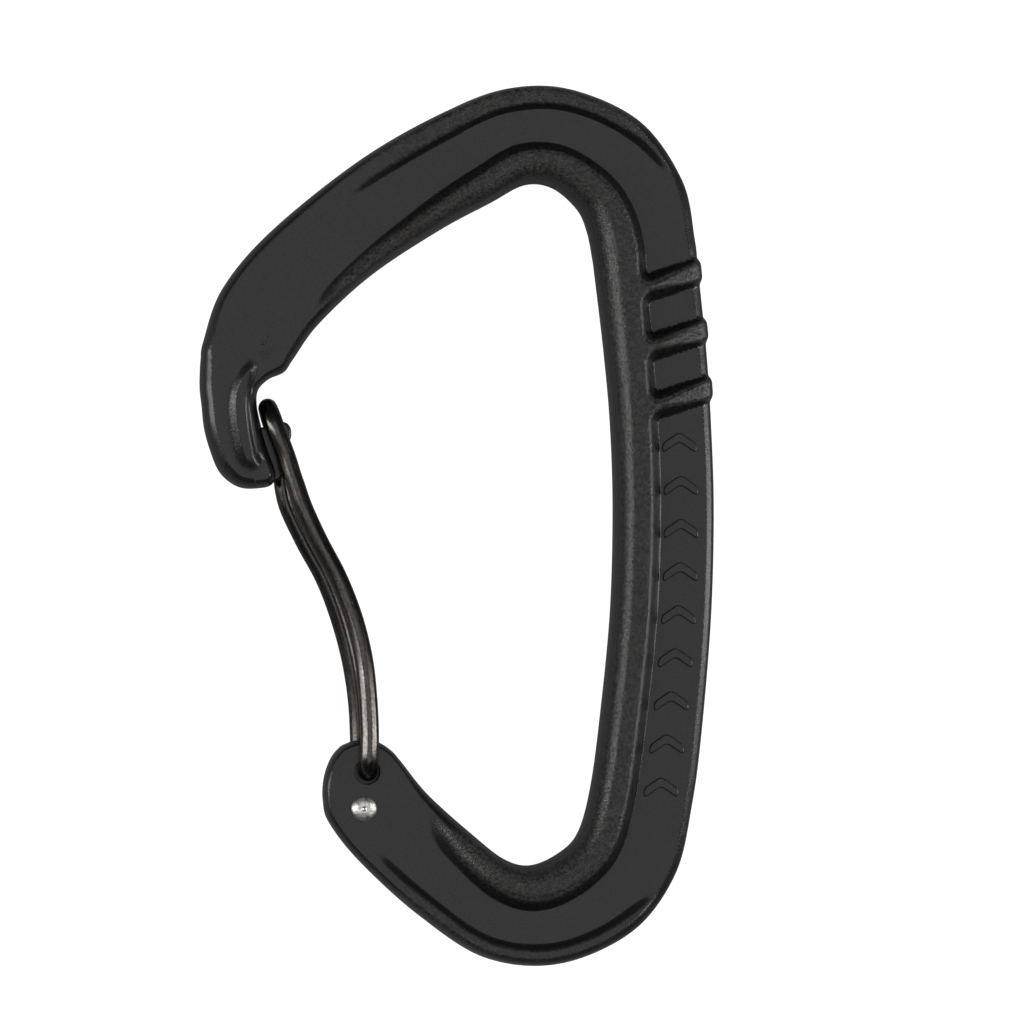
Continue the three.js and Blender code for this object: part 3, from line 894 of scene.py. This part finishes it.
def bright_steel():
    """Bright steel, dented by peening and a little stained."""
    material, nodes, links, shader = new_material("bright_rivet_steel")
    place = nodes.new("ShaderNodeTexCoord").outputs["Object"]
    dents = noise(nodes, links, place, 1500.0, detail=2.0)
    stain = noise(nodes, links, place, 2600.0, detail=4.0)
    stained = remap(nodes, links, stain, 0.35, 0.6, 0, 1)
    colour = blend_colours(nodes, links, stained, (0.55, 0.51, 0.47), (0.95, 0.94, 0.91))
    links.new(colour, shader.inputs["Base Color"])
    shader.inputs["Metallic"].default_value = 1.0
    links.new(remap(nodes, links, dents, 0.3, 0.7, 0.34, 0.5), shader.inputs["Roughness"])
    add_bumps(nodes, links, shader, [(dents, 0.6, 0.00012)])
    return material


def floor_material():
    material, nodes, links, shader = new_material("pale_floor")
    place = nodes.new("ShaderNodeTexCoord").outputs["Object"]
    tone = noise(nodes, links, place, 6.0)
    colour = blend_colours(nodes, links, tone, (0.28, 0.28, 0.28), (0.32, 0.32, 0.32))
    links.new(colour, shader.inputs["Base Color"])
    shader.inputs["Roughness"].default_value = 0.9
    shader.inputs["Emission Color"].default_value = (1.0, 1.0, 1.0, 1.0)
    # white to the camera, dimmer as a bounce card under the piece
    seen = nodes.new("ShaderNodeLightPath").outputs["Is Camera Ray"]
    links.new(remap(nodes, links, seen, 0, 1, 0.05, 1.0), shader.inputs["Emission Strength"])
    return material


# ---- stage, lights and camera ----
VIEW_CENTRE = (6.1 * MM, 1.46 * MM, MID_PLANE)
VIEW_WIDTH = 113.06 * MM
CAMERA_DISTANCE = 0.7
YAW = math.radians(5.0)
PITCH = math.radians(1.5)
FLOOR_HALF_SIDE = 900.0
STRIP_OUT = 0.55
STRIP_UP = 0.22
STRIP_WIDTH = 0.08
STRIP_LENGTH = 0.9
STRIP_POWER = 2.2


def make_floor():
    size = FLOOR_HALF_SIDE
    corners = [(-size, -size, 0.0), (size, -size, 0.0), (size, size, 0.0), (-size, size, 0.0)]
    made = mesh_object("floor", corners, [(0, 1, 2, 3)])
    to_metres(made)
    made.data.materials.append(floor_material())
    made.location.z = cad_low[2] - MID_PLANE


def area_light(name, place, width, length, power):
    light = bpy.data.lights.new(name, "AREA")
    light.shape = "RECTANGLE"
    light.size = width
    light.size_y = length
    light.energy = power
    made = bpy.data.objects.new(name, light)
    made.location = place
    made.rotation_euler = (Vector(VIEW_CENTRE) - Vector(place)).to_track_quat("-Z", "Y").to_euler()
    bpy.context.scene.collection.objects.link(made)


def make_lights():
    area_light("left_strip", (-STRIP_OUT, 0.0, STRIP_UP), STRIP_WIDTH, STRIP_LENGTH, STRIP_POWER)
    area_light("right_strip", (STRIP_OUT, 0.0, STRIP_UP), STRIP_WIDTH, STRIP_LENGTH, STRIP_POWER)
    area_light("overhead", (0.0, 0.0, 1.3), 1.1, 1.1, 3.0)
    world = bpy.data.worlds.new("studio")
    world.use_nodes = True
    world.node_tree.nodes["Background"].inputs["Color"].default_value = (0.5, 0.5, 0.5, 1.0)
    world.node_tree.nodes["Background"].inputs["Strength"].default_value = 0.1
    bpy.context.scene.world = world


def make_camera():
    camera = bpy.data.cameras.new("camera")
    camera.sensor_width = 36.0
    camera.lens = camera.sensor_width * CAMERA_DISTANCE / VIEW_WIDTH
    camera.clip_start = 0.01
    made = bpy.data.objects.new("camera", camera)
    toward = Vector((-math.sin(YAW), -math.sin(PITCH), 1.0)).normalized()
    made.location = Vector(VIEW_CENTRE) + toward * CAMERA_DISTANCE
    right = Vector((0.0, 1.0, 0.0)).cross(toward).normalized()
    made.rotation_euler = Matrix((right, toward.cross(right), toward)).transposed().to_euler()
    bpy.context.scene.collection.objects.link(made)
    bpy.context.scene.camera = made


make_camera()
make_lights()
make_floor()

PIECES = [
    (build_frame(), "body", "frame", "anodised_forging", anodised_forging()),
    (wire_gate(), "gate", "wire_gate", "gate_wire", drawn_wire()),
    (rivet(), "body", "gate_rivet", "rivet_steel", bright_steel()),
]
for piece, body, node, slot, material in PIECES:
    piece.data.materials.clear()
    piece.data.materials.append(material)
    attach(piece, body)
    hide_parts(node)

bpy.context.scene.view_settings.view_transform = "Standard"
